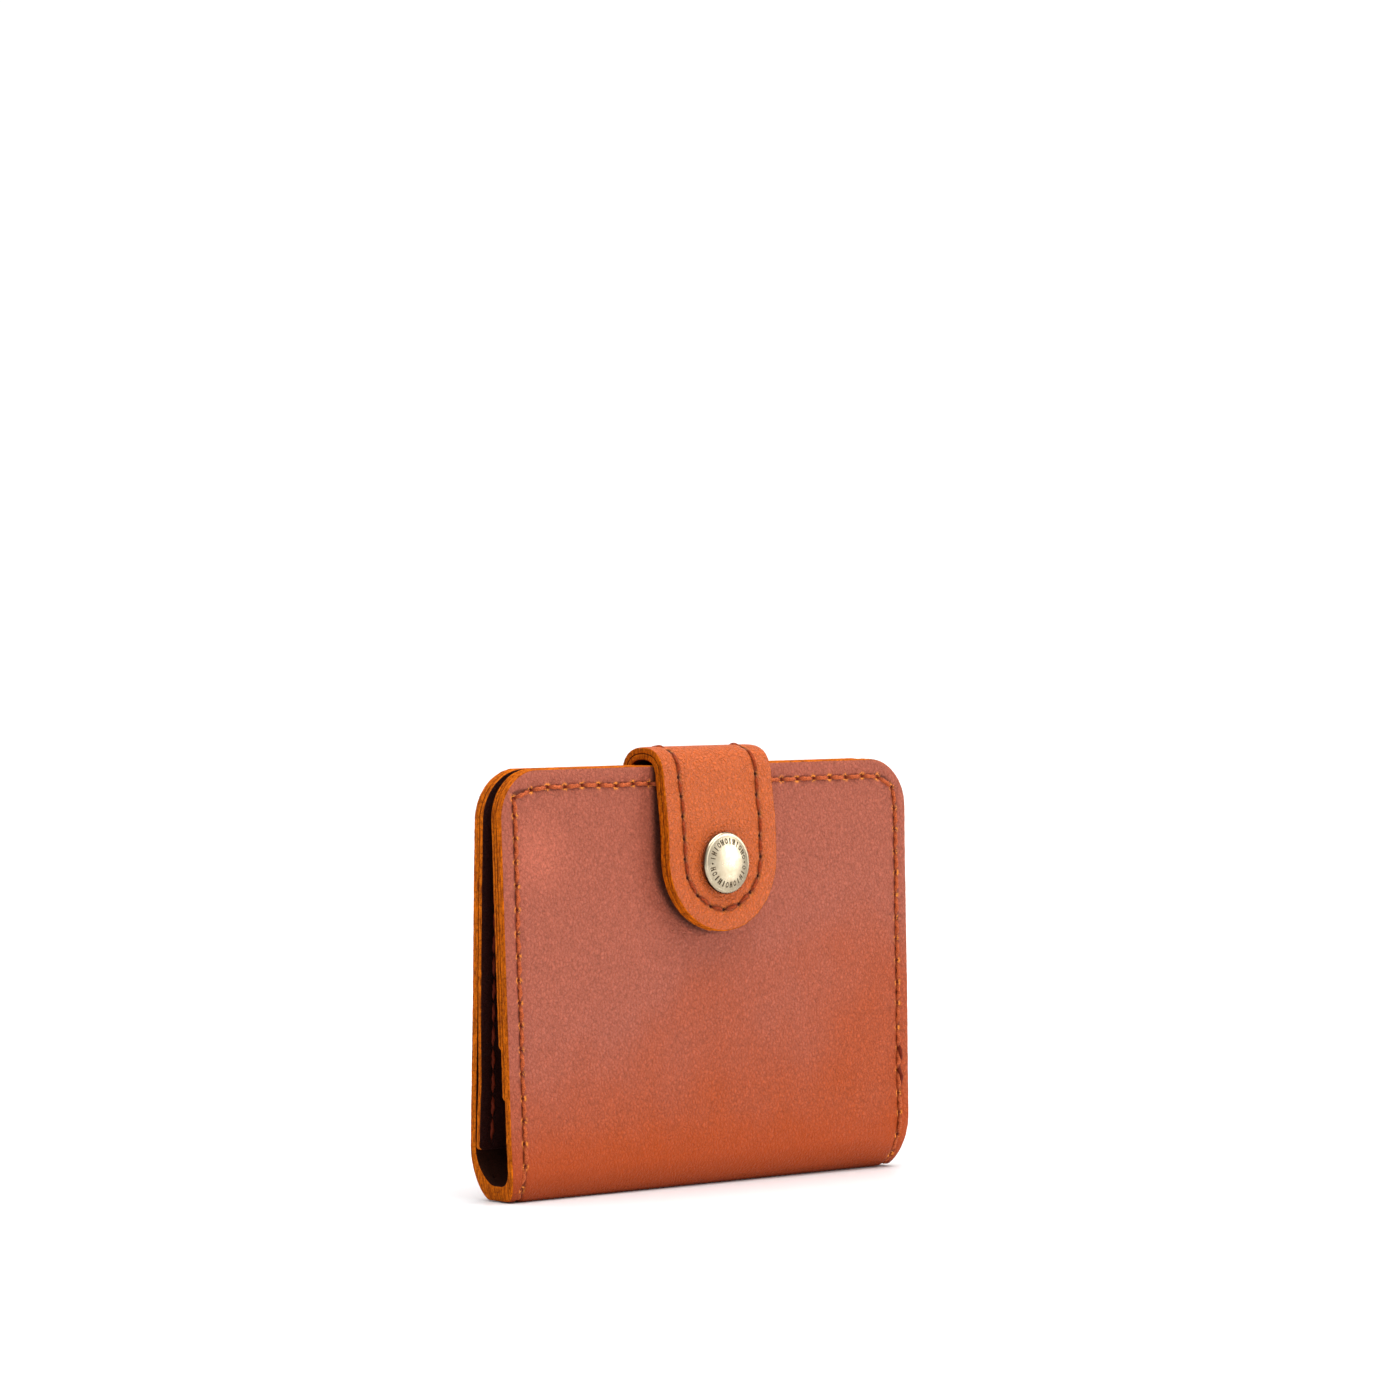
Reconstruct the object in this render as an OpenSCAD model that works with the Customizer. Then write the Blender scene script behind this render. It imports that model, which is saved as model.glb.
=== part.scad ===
// Snap card holder: one leather cover folded into a front, a spine and a rear,
// three card pocket panels sewn inside it, and a two-ply strap that is sewn to
// the rear, bends over the top edges and closes on the front with a ring snap.
// It stands on its spine. X runs along the spine, the front faces -Y, Z is up,
// and the origin is the middle of the flat foot of the spine.

/* [Cover] */
// Length of the spine, side to side
width = 111; // [100:1:120]
// Height of the folded cover
height = 85; // [80:1:95]
// Half the outer thickness where the walls leave the fold
base_half = 6.2; // [5.8:0.1:7]
// Half the outer thickness at the top edges
top_half = 3.2; // [3.2:0.1:4.2]
// Width of the flat foot under the spine
foot = 5.6; // [5:0.1:6]
// Height of the rounded fold
fold_rise = 10; // [9:0.5:12]
// Thickness of the cover leather
cover_t = 1.6; // [1.4:0.1:1.7]
// Thickness of the leather at the bottom of the fold
fold_t = 2.4; // [2:0.1:2.8]
// How much narrower the flat of the fold is on each side inside than outside
flat_inset = 1; // [0.8:0.1:1.4]
// Radius of the four outer corners
corner_r = 10; // [6:1:14]

/* [Pockets] */
// Thickness of each front pocket panel
front_ply_t = 0.7; // [0.6:0.05:0.8]
// Thickness of the rear pocket panel
rear_ply_t = 1.0; // [0.8:0.1:1.1]
// Height of the mouth of the rear pocket
rear_mouth = 10; // [10:0.5:20]
// Height of the mouth of the front back pocket
back_mouth = 20; // [18:1:24]
// Height of the mouth of the front card pocket
card_mouth = 30; // [28:1:36]
// Radius of the panels' corners at their mouths
mouth_r = 2; // [1:0.5:4]

/* [Strap] */
// Width of the strap
strap_w = 29; // [26:1:32]
// Thickness of each of its two plies
strap_ply_t = 1.2; // [1:0.1:1.3]
// Gap between the strap and the front at the top edge
strap_gap_top = 0.5; // [0.4:0.1:0.8]
// Gap between the strap and the front at the snap
strap_gap = 1.7; // [1.7:0.1:1.9]
// Rise of the bend above the top edges, on its inside
bend_rise = 1.8; // [1.8:0.1:4]
// Height of the lower end of the strap on the rear
anchor_z = 56; // [52:1:60]
// Radius of the corners of its lower end
anchor_r = 5; // [3:1:8]

/* [Snap] */
// Height of the snap on the front
snap_z = 65; // [62:1:67]
// Diameter of the snap cap
cap_d = 12.5; // [12:0.5:13]
// Height of the domed cap
cap_h = 1.8; // [1.6:0.1:2.2]

/* [Seams] */
// Distance from the cover's cut edge to its seam
seam_inset = 3.6; // [3:0.1:5]
// Distance from the strap's cut edge to its seam
strap_inset = 4.4; // [3.6:0.1:5]
// Length of one stitch with its hole
pitch = 4.5; // [4:0.1:5]
// Width of the thread
thread_w = 0.7; // [0.5:0.1:0.9]

/* [Hidden] */

leather = [0.72, 0.34, 0.21];
pocket_leather = [0.66, 0.31, 0.20];
lining_leather = [0.60, 0.33, 0.16];
thread_colour = [0.58, 0.24, 0.15];
antique_brass = [0.72, 0.62, 0.40];
spring_steel = [0.60, 0.60, 0.58];

far = 200;          // longer than the part in any direction
round_fn = 96;      // true circles
fold_steps = 12;    // facets of a quarter of the fold
hinge_t = 35;       // where the cover is hinged, in degrees round the quarter fold
bend_hinge_t = 42;  // where the strap is hinged, in degrees up the quarter bend
stitch_gap = 1.1;   // hole between two stitches
stitch_h = 0.5;     // thickness of a stitch, of which half stands proud
strap_t = 2 * strap_ply_t;

// ---- The wall of the folded cover, in the plane across the spine ----
fold_half = base_half - foot / 2;
wall_slope = (base_half - top_half) / (height - fold_rise);
wall_tilt = atan(wall_slope);

// Half the outer thickness of the cover at height z, above the fold
function wall(z) = base_half - wall_slope * (z - fold_rise);
// A point on the quarter fold, t degrees round from the foot, outside and inside
function fold_out(t) = [foot / 2 + fold_half * sin(t), fold_rise * (1 - cos(t))];
function fold_in(t) =
    let (flat = foot / 2 - flat_inset, half = base_half - cover_t - flat)
    [flat + half * sin(t), fold_t + (fold_rise - fold_t) * (1 - cos(t))];

function steps(from, to, count) = [for (i = [0:count]) from + (to - from) * i / count];
function mirrored(points) = [for (p = points) [-p[0], p[1]]];
function reversed(v) = [for (i = [len(v) - 1:-1:0]) v[i]];

// Extrudes a shape drawn in the plane across the spine along the spine
module along_spine(length) {
    translate([-length / 2, 0, 0])
        rotate([90, 0, 90])
            linear_extrude(height = length)
                children();
}

// The front is the rear seen in a mirror
module on_side(side) {
    if (side == "front") mirror([0, 1, 0]) children();
    else children();
}

// A block as wide as w whose upper corners have radius r_up and lower corners r_low
module panel_outline(w, z0, z1, r_up, r_low) {
    module corner(x, z, r)
        translate([x, far / 2, z]) rotate([90, 0, 0]) cylinder(r = r, h = far, $fn = round_fn);
    translate([-w / 2, -far / 2, z0 + r_low]) cube([w, far, z1 - r_up - z0 - r_low]);
    translate([-w / 2 + r_up, -far / 2, z1 - r_up]) cube([w - 2 * r_up, far, r_up]);
    for (x = [-1, 1]) corner(x * (w / 2 - r_up), z1 - r_up, r_up);
    if (r_low > 0) {
        translate([-w / 2 + r_low, -far / 2, z0]) cube([w - 2 * r_low, far, r_low]);
        for (x = [-1, 1]) corner(x * (w / 2 - r_low), z0 + r_low, r_low);
    }
}

// A flat-sided panel lying against the wall, at depth in from its outer face
module wall_panel(z0, z1, depth, t, w, r_up, r_low) {
    intersection() {
        along_spine(w)
            polygon([[wall(z0) - depth, z0], [wall(z1) - depth, z1],
                     [wall(z1) - depth - t, z1], [wall(z0) - depth - t, z0]]);
        panel_outline(w, z0, z1, r_up, r_low);
    }
}

// ---- The cover ----
module cover_spine() {
    arc = steps(hinge_t, 0, fold_steps);
    outside = [for (t = arc) fold_out(t)];
    inside = [for (t = arc) fold_in(t)];
    color(leather)
        along_spine(width)
            polygon(concat(outside, reversed(mirrored(outside)),
                           mirrored(inside), reversed(inside)));
}

module cover_side() {
    arc = steps(hinge_t, 90, fold_steps);
    color(leather)
        difference() {
            intersection() {
                along_spine(width)
                    polygon(concat([for (t = arc) fold_out(t)],
                                   [[top_half, height], [top_half - cover_t, height]],
                                   reversed([for (t = arc) fold_in(t)])));
                panel_outline(width, 0, height, corner_r, 0);
            }
            children();
        }
}

module cover_rear() {
    cover_side();
}

module cover_front() {
    on_side("front")
        cover_side() {
            on_side("front") at_snap() post_hole();
        }
}

// ---- The pocket panels ----
module pocket_front_back() {
    color(pocket_leather)
        on_side("front")
            wall_panel(back_mouth, height, cover_t, front_ply_t, width, corner_r, mouth_r);
}

module pocket_front_card() {
    color(pocket_leather)
        on_side("front")
            wall_panel(card_mouth, height, cover_t + front_ply_t, front_ply_t, width,
                       corner_r, mouth_r);
}

module pocket_rear() {
    color(pocket_leather)
        wall_panel(rear_mouth, height, cover_t, rear_ply_t, width, corner_r, mouth_r);
}

// ---- The strap ----
bend_half = (2 * top_half + strap_gap_top) / 2;  // half the inner span of the bend
bend_y = -strap_gap_top / 2;                     // middle of the bend
knee_clear = 1.5;                                // flat leather above the cap
flap_knee = snap_z + cap_d / 2 + knee_clear;     // the flap lies flat below this height
tip_rise = 0.9;                                  // the tip's middle lies above the snap's
tip_z = snap_z + tip_rise;

// A point on the bend, t degrees up from its rear foot, at depth o from its inner face
function bend(t, o) = [bend_y + (bend_half + o) * cos(t), height + (bend_rise + o) * sin(t)];
// The flap's face at height z, at depth o from its inner face
function flap(z, o) = [-(wall(z) + strap_gap + o), z];

// One stretch of the bend, from t0 to t1 degrees, between depths o0 and o1
function bend_band(t0, t1, o0, o1) =
    let (arc = steps(t0, t1, fold_steps))
    concat([for (t = arc) bend(t, o0)], reversed([for (t = arc) bend(t, o1)]));

module strap_base(o0, o1) {
    intersection() {
        along_spine(strap_w)
            polygon(concat([[wall(anchor_z) + o0, anchor_z], bend(0, o0)],
                           bend_band(bend_hinge_t / fold_steps, bend_hinge_t, o0, o1),
                           [bend(0, o1), [wall(anchor_z) + o1, anchor_z]]));
        panel_outline(strap_w, anchor_z, height + far, anchor_r, anchor_r);
    }
}

module strap_bend(o0, o1) {
    along_spine(strap_w)
        polygon(bend_band(bend_hinge_t, 180 - bend_hinge_t, o0, o1));
}

module strap_flap(o0, o1) {
    tip_r = strap_w / 2;
    band = bend_band(180 - bend_hinge_t / fold_steps, 180 - bend_hinge_t, o0, o1);
    difference() {
        intersection() {
            along_spine(strap_w)
                polygon(concat([flap(tip_z - tip_r, o0), flap(flap_knee, o0), bend(180, o0)], band,
                               [bend(180, o1), flap(flap_knee, o1), flap(tip_z - tip_r, o1)]));
            union() {
                translate([-tip_r, -far / 2, tip_z]) cube([strap_w, far, far]);
                translate([0, far / 2, tip_z]) rotate([90, 0, 0])
                    cylinder(r = tip_r, h = far, $fn = round_fn);
            }
        }
        children();
    }
}

module strap_outer_base() { color(leather) strap_base(strap_ply_t, strap_t); }
module strap_outer_bend() { color(leather) strap_bend(strap_ply_t, strap_t); }
module strap_outer_flap() {
    color(leather) strap_flap(strap_ply_t, strap_t) { at_snap() cap_hole(); }
}
module strap_lining_base() { color(lining_leather) strap_base(0, strap_ply_t); }
module strap_lining_bend() { color(lining_leather) strap_bend(0, strap_ply_t); }
module strap_lining_flap() {
    color(lining_leather) strap_flap(0, strap_ply_t) { at_snap() socket_hole(); }
}

// ---- The ring snap; its own +Z points out of the front, from the cover's face ----
post_r = 1.6;
post_flange_r = 4.6;
post_flange_t = 0.4;
stud_flange_r = 5.2;
stud_flange_t = 0.45;
stud_neck_r = 2.4;
stud_ball_r = 2.9;
stud_top = 2.3;
stud_shell = 0.4;       // sheet thickness over the post's end
bevel = 0.3;            // small bevels on the metal
socket_r = 5.6;
socket_face = 0.6;      // the socket's open face
socket_hub_r = 3.9;
socket_bore_r = 3.2;
socket_floor = strap_gap + 0.9;
spring_z = 0.8;
spring_t = 0.4;
spring_gap = 1;         // slot of the split ring
groove_ease = 0.1;
groove_r = 3.45;
rivet_r = 1.6;
cap_rim = 0.9;          // height of the cap's straight rim
cap_crown = 0.1;        // how much the dome still rises inside half its radius
lining_face = strap_gap;
ply_joint = strap_gap + strap_ply_t;
strap_face = strap_gap + strap_t;
hole_ease = 0.05;       // clearance between the snap's metal and the leather

module at_snap() {
    translate([0, -wall(snap_z), snap_z]) rotate([90 - wall_tilt, 0, 0]) children();
}

module disc(r, z0, z1) {
    translate([0, 0, z0]) cylinder(r = r, h = z1 - z0, $fn = round_fn);
}

// Holes punched in the leather
module post_hole() {
    disc(post_r + hole_ease, -2 * cover_t, cover_t);
    disc(post_flange_r + hole_ease, -2 * cover_t, -cover_t + post_flange_t);
}
module cap_hole() {
    disc(rivet_r + hole_ease, 0, far / 4);
}
module socket_hole() {
    disc(socket_hub_r + hole_ease, 0, strap_face);
}

module snap_post() {
    color(antique_brass)
        at_snap() {
            disc(post_flange_r, -cover_t + hole_ease, -cover_t + post_flange_t);
            disc(post_r, -cover_t + hole_ease, stud_top - stud_shell);
        }
}

module snap_stud() {
    color(antique_brass)
        at_snap()
            rotate_extrude($fn = round_fn)
                polygon([[post_r, 0], [stud_flange_r, 0], [stud_flange_r, stud_flange_t],
                         [stud_neck_r + bevel, stud_flange_t],
                         [stud_neck_r, stud_flange_t + bevel], [stud_neck_r, spring_z + spring_t],
                         [stud_ball_r, spring_z + 2 * spring_t], [stud_ball_r, stud_top - bevel],
                         [stud_ball_r - bevel, stud_top], [0, stud_top],
                         [0, stud_top - stud_shell], [post_r, stud_top - stud_shell]]);
}

module snap_socket() {
    color(antique_brass)
        at_snap()
            rotate_extrude($fn = round_fn)
                polygon([[socket_bore_r, socket_face], [socket_r - bevel, socket_face],
                         [socket_r, socket_face + bevel], [socket_r, lining_face - hole_ease],
                         [socket_hub_r, lining_face - hole_ease],
                         [socket_hub_r, ply_joint - hole_ease],
                         [rivet_r, ply_joint - hole_ease], [rivet_r, socket_floor],
                         [socket_bore_r, socket_floor],
                         [socket_bore_r, spring_z + spring_t + groove_ease],
                         [groove_r, spring_z + spring_t + groove_ease],
                         [groove_r, spring_z - groove_ease],
                         [socket_bore_r, spring_z - groove_ease]]);
}

module snap_spring() {
    outer_r = groove_r - groove_ease;
    color(spring_steel)
        at_snap()
            difference() {
                disc(outer_r, spring_z, spring_z + spring_t);
                disc(outer_r - 2 * spring_t, 0, spring_z + 2 * spring_t);
                translate([0, -spring_gap / 2, 0]) cube([far, spring_gap, spring_z + 2 * spring_t]);
            }
}

module snap_cap() {
    cap_r = cap_d / 2;
    color(antique_brass)
        at_snap() {
            rotate_extrude($fn = round_fn)
                polygon([[0, strap_face], [cap_r - bevel, strap_face], [cap_r, strap_face + bevel],
                         [cap_r, strap_face + cap_rim], [cap_r - bevel, strap_face + cap_rim + bevel],
                         [cap_r / 2, strap_face + cap_h - cap_crown], [0, strap_face + cap_h]]);
            disc(rivet_r, socket_floor, strap_face + bevel);
        }
}

// ---- The seams; each visible stitch is one short bar, half sunk in the leather ----
module stitch(length, proud) {
    translate([-length / 2, -thread_w / 2, proud - stitch_h])
        cube([length, thread_w, stitch_h]);
}

// The cover's outer profile from the middle of the foot up one wall, as [length, y, z]
profile = let (
        arc = [for (t = steps(0, 90, 2 * fold_steps)) fold_out(t)],
        points = concat([[0, 0]], arc, [[top_half, height]]))
    [for (i = 0, s = 0; i < len(points);
          s = s + (i + 1 < len(points) ? norm(points[i + 1] - points[i]) : 0), i = i + 1)
        [s, points[i][0], points[i][1]]];
profile_y = [for (p = profile) [p[0], p[1]]];
profile_z = [for (p = profile) [p[0], p[2]]];
seam_x = width / 2 - seam_inset;
seam_end = profile[len(profile) - 1][0] - seam_inset;
hinge_s = lookup(fold_out(hinge_t)[1], [for (p = profile) if (p[2] > 0) [p[2], p[0]]]);
column_count = round((seam_end - hinge_s) / pitch);
column_pitch = (seam_end - hinge_s) / column_count;
row_count = 2 * round(seam_x / pitch);
row_pitch = 2 * seam_x / row_count;
spine_count = 3;        // stitches round the fold
spine_pitch = 2 * hinge_s / spine_count;
half_proud = stitch_h / 2;
mouth_cover = 1;        // a stitch this far above a pocket's mouth lies on the pocket

function profile_at(s) = [lookup(s, profile_y), lookup(s, profile_z)];
function profile_angle(s) =
    let (d = profile_at(s + pitch / 3) - profile_at(max(0, s - pitch / 3))) atan2(d[1], d[0]);

// How deep the inner face of one side lies at height z, under its pockets
function stack(z, side) =
    side == "rear" ? cover_t + (z > rear_mouth + mouth_cover ? rear_ply_t : 0)
    : cover_t + (z > back_mouth + mouth_cover ? front_ply_t : 0)
      + (z > card_mouth + mouth_cover ? front_ply_t : 0);

// Puts its children at x and at length s round the profile, +Y up the wall and +Z inwards
module on_profile(x, s) {
    p = profile_at(s);
    translate([x, p[0], p[1]]) rotate([profile_angle(s), 0, 0]) children();
}

// One stitch of a column that runs up the wall, on its outer face and on its inner face
module column_stitch(x, s, length, side) {
    z = profile_at(s)[1];
    on_profile(x, s) {
        rotate([180, 0, 90]) stitch(length, half_proud);
        if (z > fold_rise)
            translate([0, 0, stack(z, side)]) rotate([0, 0, 90]) stitch(length, half_proud);
    }
}

module side_seam(side) {
    for (i = [0:column_count - 1], x = [-seam_x, seam_x])
        column_stitch(x, hinge_s + (i + 0.5) * column_pitch, column_pitch - stitch_gap, side);
    for (i = [0:row_count - 1]) {
        x = -seam_x + (i + 0.5) * row_pitch;
        on_profile(x, seam_end) {
            translate([0, 0, stack(height, side)]) stitch(row_pitch - stitch_gap, half_proud);
            if (side == "front" || abs(x) > strap_w / 2 + row_pitch / 2)
                rotate([180, 0, 0]) stitch(row_pitch - stitch_gap, half_proud);
        }
    }
}

module thread_front() {
    color(thread_colour) on_side("front") side_seam("front");
}

module thread_rear() {
    color(thread_colour) side_seam("rear");
}

// The stitches round the fold are pressed flush with the foot
module thread_spine() {
    color(thread_colour)
        intersection() {
            for (x = [-seam_x, seam_x]) {
                on_profile(x, 0) rotate([180, 0, 90]) stitch(spine_pitch - stitch_gap, 0);
                for (side = ["front", "rear"])
                    on_side(side)
                        column_stitch(x, spine_pitch, spine_pitch - stitch_gap, side);
            }
            translate([-far / 2, -far / 2, 0]) cube(far);
        }
}

strap_seam_x = strap_w / 2 - strap_inset;

// Stitches on the strap's outer face where it lies on the rear: two sides and two cross rows
module thread_strap_base() {
    low = anchor_z + strap_inset;
    count = round((height - low) / pitch);
    step = (height - low) / count;
    across_count = 5;
    across = 2 * strap_seam_x / across_count;
    module on_base(x, z)
        translate([x, wall(z) + strap_t, z]) rotate([90 + wall_tilt, 0, 0]) rotate([180, 0, 0])
            children();
    color(thread_colour) {
        for (i = [0:count - 1], x = [-strap_seam_x, strap_seam_x])
            on_base(x, low + (i + 0.5) * step) rotate([0, 0, 90]) stitch(step - stitch_gap, half_proud);
        for (i = [0:across_count - 1], z = [low, height - strap_inset])
            on_base((i + 0.5) * across - strap_seam_x, z) stitch(across - stitch_gap, half_proud);
    }
}

module thread_strap_bend() {
    turn = (90 - bend_hinge_t) / 2;
    length = norm(bend(90 + 2 * turn, strap_t) - bend(90, strap_t)) - stitch_gap;
    color(thread_colour)
        for (t = [90 - turn, 90 + turn], x = [-strap_seam_x, strap_seam_x]) {
            p = bend(t, strap_t);
            along = bend(t + turn, strap_t) - bend(t - turn, strap_t);
            translate([x, p[0], p[1]])
                rotate([atan2(along[1], along[0]) + 180, 0, 0]) rotate([0, 0, 90])
                    stitch(length, half_proud);
        }
}

// Stitches round the tip of the flap and up its sides
module thread_strap_flap() {
    tip_count = 8;
    tip_turn = 180 / tip_count;
    side_count = round((height - tip_z) / pitch);
    side_step = (height - tip_z) / side_count;
    low = flap(flap_knee, strap_t);
    high = bend(180, strap_t);
    upper_tilt = atan2(high[0] - low[0], high[1] - low[1]);
    color(thread_colour) {
        at_snap()
            for (i = [0:tip_count - 1])
                translate([0, tip_z - snap_z, strap_face])
                    rotate([0, 0, 180 + (i + 0.5) * tip_turn])
                        translate([strap_seam_x * cos(tip_turn / 2), 0, 0]) rotate([0, 0, 90])
                            stitch(2 * strap_seam_x * sin(tip_turn / 2) - stitch_gap, half_proud);
        for (i = [0:side_count - 1], x = [-strap_seam_x, strap_seam_x]) {
            z = tip_z + (i + 0.5) * side_step;
            below = z < flap_knee;
            p = below ? flap(z, strap_t) : low + (high - low) * (z - low[1]) / (high[1] - low[1]);
            translate([x, p[0], p[1]])
                rotate([90 - (below ? wall_tilt : upper_tilt), 0, 0]) rotate([0, 0, 90])
                    stitch(side_step - stitch_gap, half_proud);
        }
    }
}

cover_spine();
cover_front();
cover_rear();
pocket_front_back();
pocket_front_card();
pocket_rear();
strap_outer_base();
strap_outer_bend();
strap_outer_flap();
strap_lining_base();
strap_lining_bend();
strap_lining_flap();
thread_spine();
thread_front();
thread_rear();
thread_strap_base();
thread_strap_bend();
thread_strap_flap();
snap_cap();
snap_socket();
snap_spring();
snap_stud();
snap_post();
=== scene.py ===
"""Looks of the snap card holder: its leather, thread and brass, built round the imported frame.

Sizes are in millimetres, in the frame's own axes, and become metres when a mesh is made.
A sheet of leather is drawn flat, as x along the spine and v along the leather, and then laid on
its place with a function place(x, v, depth), where depth is how far in a point lies from the face.
"""
import math

import bpy
import numpy as np
from mathutils import Matrix, Vector, geometry, noise


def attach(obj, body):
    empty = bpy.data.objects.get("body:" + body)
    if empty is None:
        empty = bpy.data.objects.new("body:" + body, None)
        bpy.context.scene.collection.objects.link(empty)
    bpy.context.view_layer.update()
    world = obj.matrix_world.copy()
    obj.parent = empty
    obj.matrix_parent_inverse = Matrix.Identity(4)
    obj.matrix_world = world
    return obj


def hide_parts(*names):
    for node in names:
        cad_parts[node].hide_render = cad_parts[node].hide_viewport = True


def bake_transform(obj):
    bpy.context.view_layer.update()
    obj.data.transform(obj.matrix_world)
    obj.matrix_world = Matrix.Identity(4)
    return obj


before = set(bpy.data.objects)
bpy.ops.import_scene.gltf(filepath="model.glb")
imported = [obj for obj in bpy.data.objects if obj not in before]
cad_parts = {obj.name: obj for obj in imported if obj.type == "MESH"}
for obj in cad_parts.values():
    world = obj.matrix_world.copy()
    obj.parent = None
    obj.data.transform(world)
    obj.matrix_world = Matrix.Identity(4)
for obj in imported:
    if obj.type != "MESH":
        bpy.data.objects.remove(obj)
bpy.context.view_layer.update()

MM = 0.001
WALLS = {-1: "front", 1: "rear"}

# ---- The driving sizes, as in the CAD source ----
HALF_W = 55.5
HEIGHT = 85
BASE_HALF = 6.2         # half the outer thickness where the walls leave the fold
TOP_HALF = 3.2          # half the outer thickness at the top edges
FOOT_HALF = 2.8
FOLD_RISE = 10
COVER_T = 1.6
CORNER_R = 10
FRONT_PLY_T = 0.7
REAR_PLY_T = 1.0
REAR_MOUTH = 10
BACK_MOUTH = 20
CARD_MOUTH = 30
STRAP_GAP_TOP = 0.5     # between the strap and the front at the top edge
STRAP_GAP = 1.7         # between the strap and the front at the snap
ANCHOR_Z = 56           # height of the strap's lower end on the rear
BASE_CORNER_R = 5
SNAP_Z = 65
CAP_R = 6.25
PITCH = 4.5
WALL_SLOPE = (BASE_HALF - TOP_HALF) / (HEIGHT - FOLD_RISE)

# ---- How leather and thread differ from the plain solids ----
FOLD_T = 3.2            # thickness of the leather at the bottom of the fold
FOLD_FLAT = 0.9         # half the flat inside the fold
PANEL_CORNER_R = 1
STRAP_HALF = 14.8       # half the strap's width
STRAP_PLY_T = 1.3
STRAP_T = 2 * STRAP_PLY_T
BEND_RISE = 1.15        # rise of the strap's inner face over the top edges
KNEE_Z = 72.75          # where the strap's front part turns to lie along the wall
TIP_Z = 66.2            # middle of the strap's round tip
OUTER_ROUND = 0.3       # rounding of a cut edge at the grain side
INNER_ROUND = 0.25      # and at the flesh side
RIM_SKIN = 0.08         # how far over the rounding the face's finish goes
EDGE_STEP = 0.55        # spacing of points along an edge
EDGE_FIBRE = 0.1        # how uneven a raw edge is
EDGE_SAG = 0.12         # how much the face drops towards a cut edge
THIN = 0.9              # leather up to this thickness stays flat behind its holes
FOLD_SLIP = 0.8         # how far the hollow of the fold lies towards the front
FOLD_TWIST_Z = 12       # height up to which the fold is shifted and twisted
FOLD_SHIFT = 0.6        # how far towards the rear its middle lies
FOLD_TWIST = 1.4        # and how much further its right end does
FOLD_DRAW = 0.024       # how much shorter it is, as a share of its length
BOW = 0.5               # how far a wall's ends stand off at the top
WAVE = 0.1              # height of the slow waves in a wall
END_FLARE = 0.5         # how far the rear panel's ends stand off the cover low down
SEAM_INSET = 3.6
RIGHT_INSET = 2.9       # the front's seam runs closer to the right edge
STRAP_INSET = 4.4
THREAD_R = 0.47
STRAP_THREAD_R = 0.4
STITCH_SINK = 1.1       # how deep a thread dives at its holes
SEAM_PROUD = 0.16       # how far the thread's middle stands above the leather
INNER_PROUD = -0.08     # the same on the inner face
FOOT_PROUD = -0.3       # and where the foot is stood on
BACKSTITCH_PROUD = 0.35 # and where it lies on the first row
STRAP_PROUD = -0.03     # and on the strap
FOOT_REACH = 9          # length of the leather that the foot takes on each side
INNER_START = 12        # length where the inner face's stitches start
HAND_SHAKE = 0.12       # how far holes stray from their marks
FOLD_PINCH = 1.9        # how much nearer the cut ends the seam runs at the foot
PINCH_REACH = 13        # length from the foot over which it does so
CORNER_DIP = 1.2        # how much lower the top row starts at the left corner
BACKSTITCH_V = (21, 30) # where the seam is sewn twice, on the right
BACKSTITCH_STEP = np.array([0.35, 0.9])
HOLE_DEPTH = 0.5        # how deep the needle pulled the leather in at a hole
GROOVE_DEPTH = 0.24     # and along the whole seam
SEAM_ZONE = 1.3         # half the width of leather that a seam marks
HOLE_RINGS = (0.2, 5), (0.42, 8), (0.75, 10)  # radius and count of mesh points round a hole
STRAY = 0.12            # how far a stitch bows off its line
PLY_DEPTH = 0.16        # depth of the twist, as a share of the thread's radius
TWIST = 9               # how far the thread turns along one stitch, in radians

# ---- Where the leather bends, as (distance from the middle plane, height) ----
FOLD_BEND = (1.46, 1.75), (6.53, 3.2)
STRAP_BEND = (3.86, 83.7), (0.54, 86.8)
BEND_V = (22, 52)       # length along the strap, from its lower end, that the bend is in

# Each pocket panel's name, wall, depth of its hidden face, thickness and height of its mouth
POCKETS = [("front_back", -1, COVER_T, FRONT_PLY_T, BACK_MOUTH),
           ("front_card", -1, COVER_T + FRONT_PLY_T, FRONT_PLY_T, CARD_MOUTH),
           ("rear", 1, COVER_T, REAR_PLY_T, REAR_MOUTH)]


# ---- Shapes across the spine ----
def run_length(path):
    """Length along a path at each of its points."""
    return np.concatenate([[0], np.cumsum(np.hypot(*np.diff(path, axis=0).T))])


def unit(rows):
    """Rows of coordinates made one long."""
    return rows / np.linalg.norm(rows, axis=1)[:, None]


def at_length(v, table, *columns):
    """Columns of a table whose first column is a length, read at the length v."""
    return [np.interp(v, table[:, 0], table[:, k]) for k in columns]


def wall(z):
    """Half the outer thickness of the folded cover at height z."""
    return BASE_HALF - WALL_SLOPE * (z - FOLD_RISE)


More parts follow.
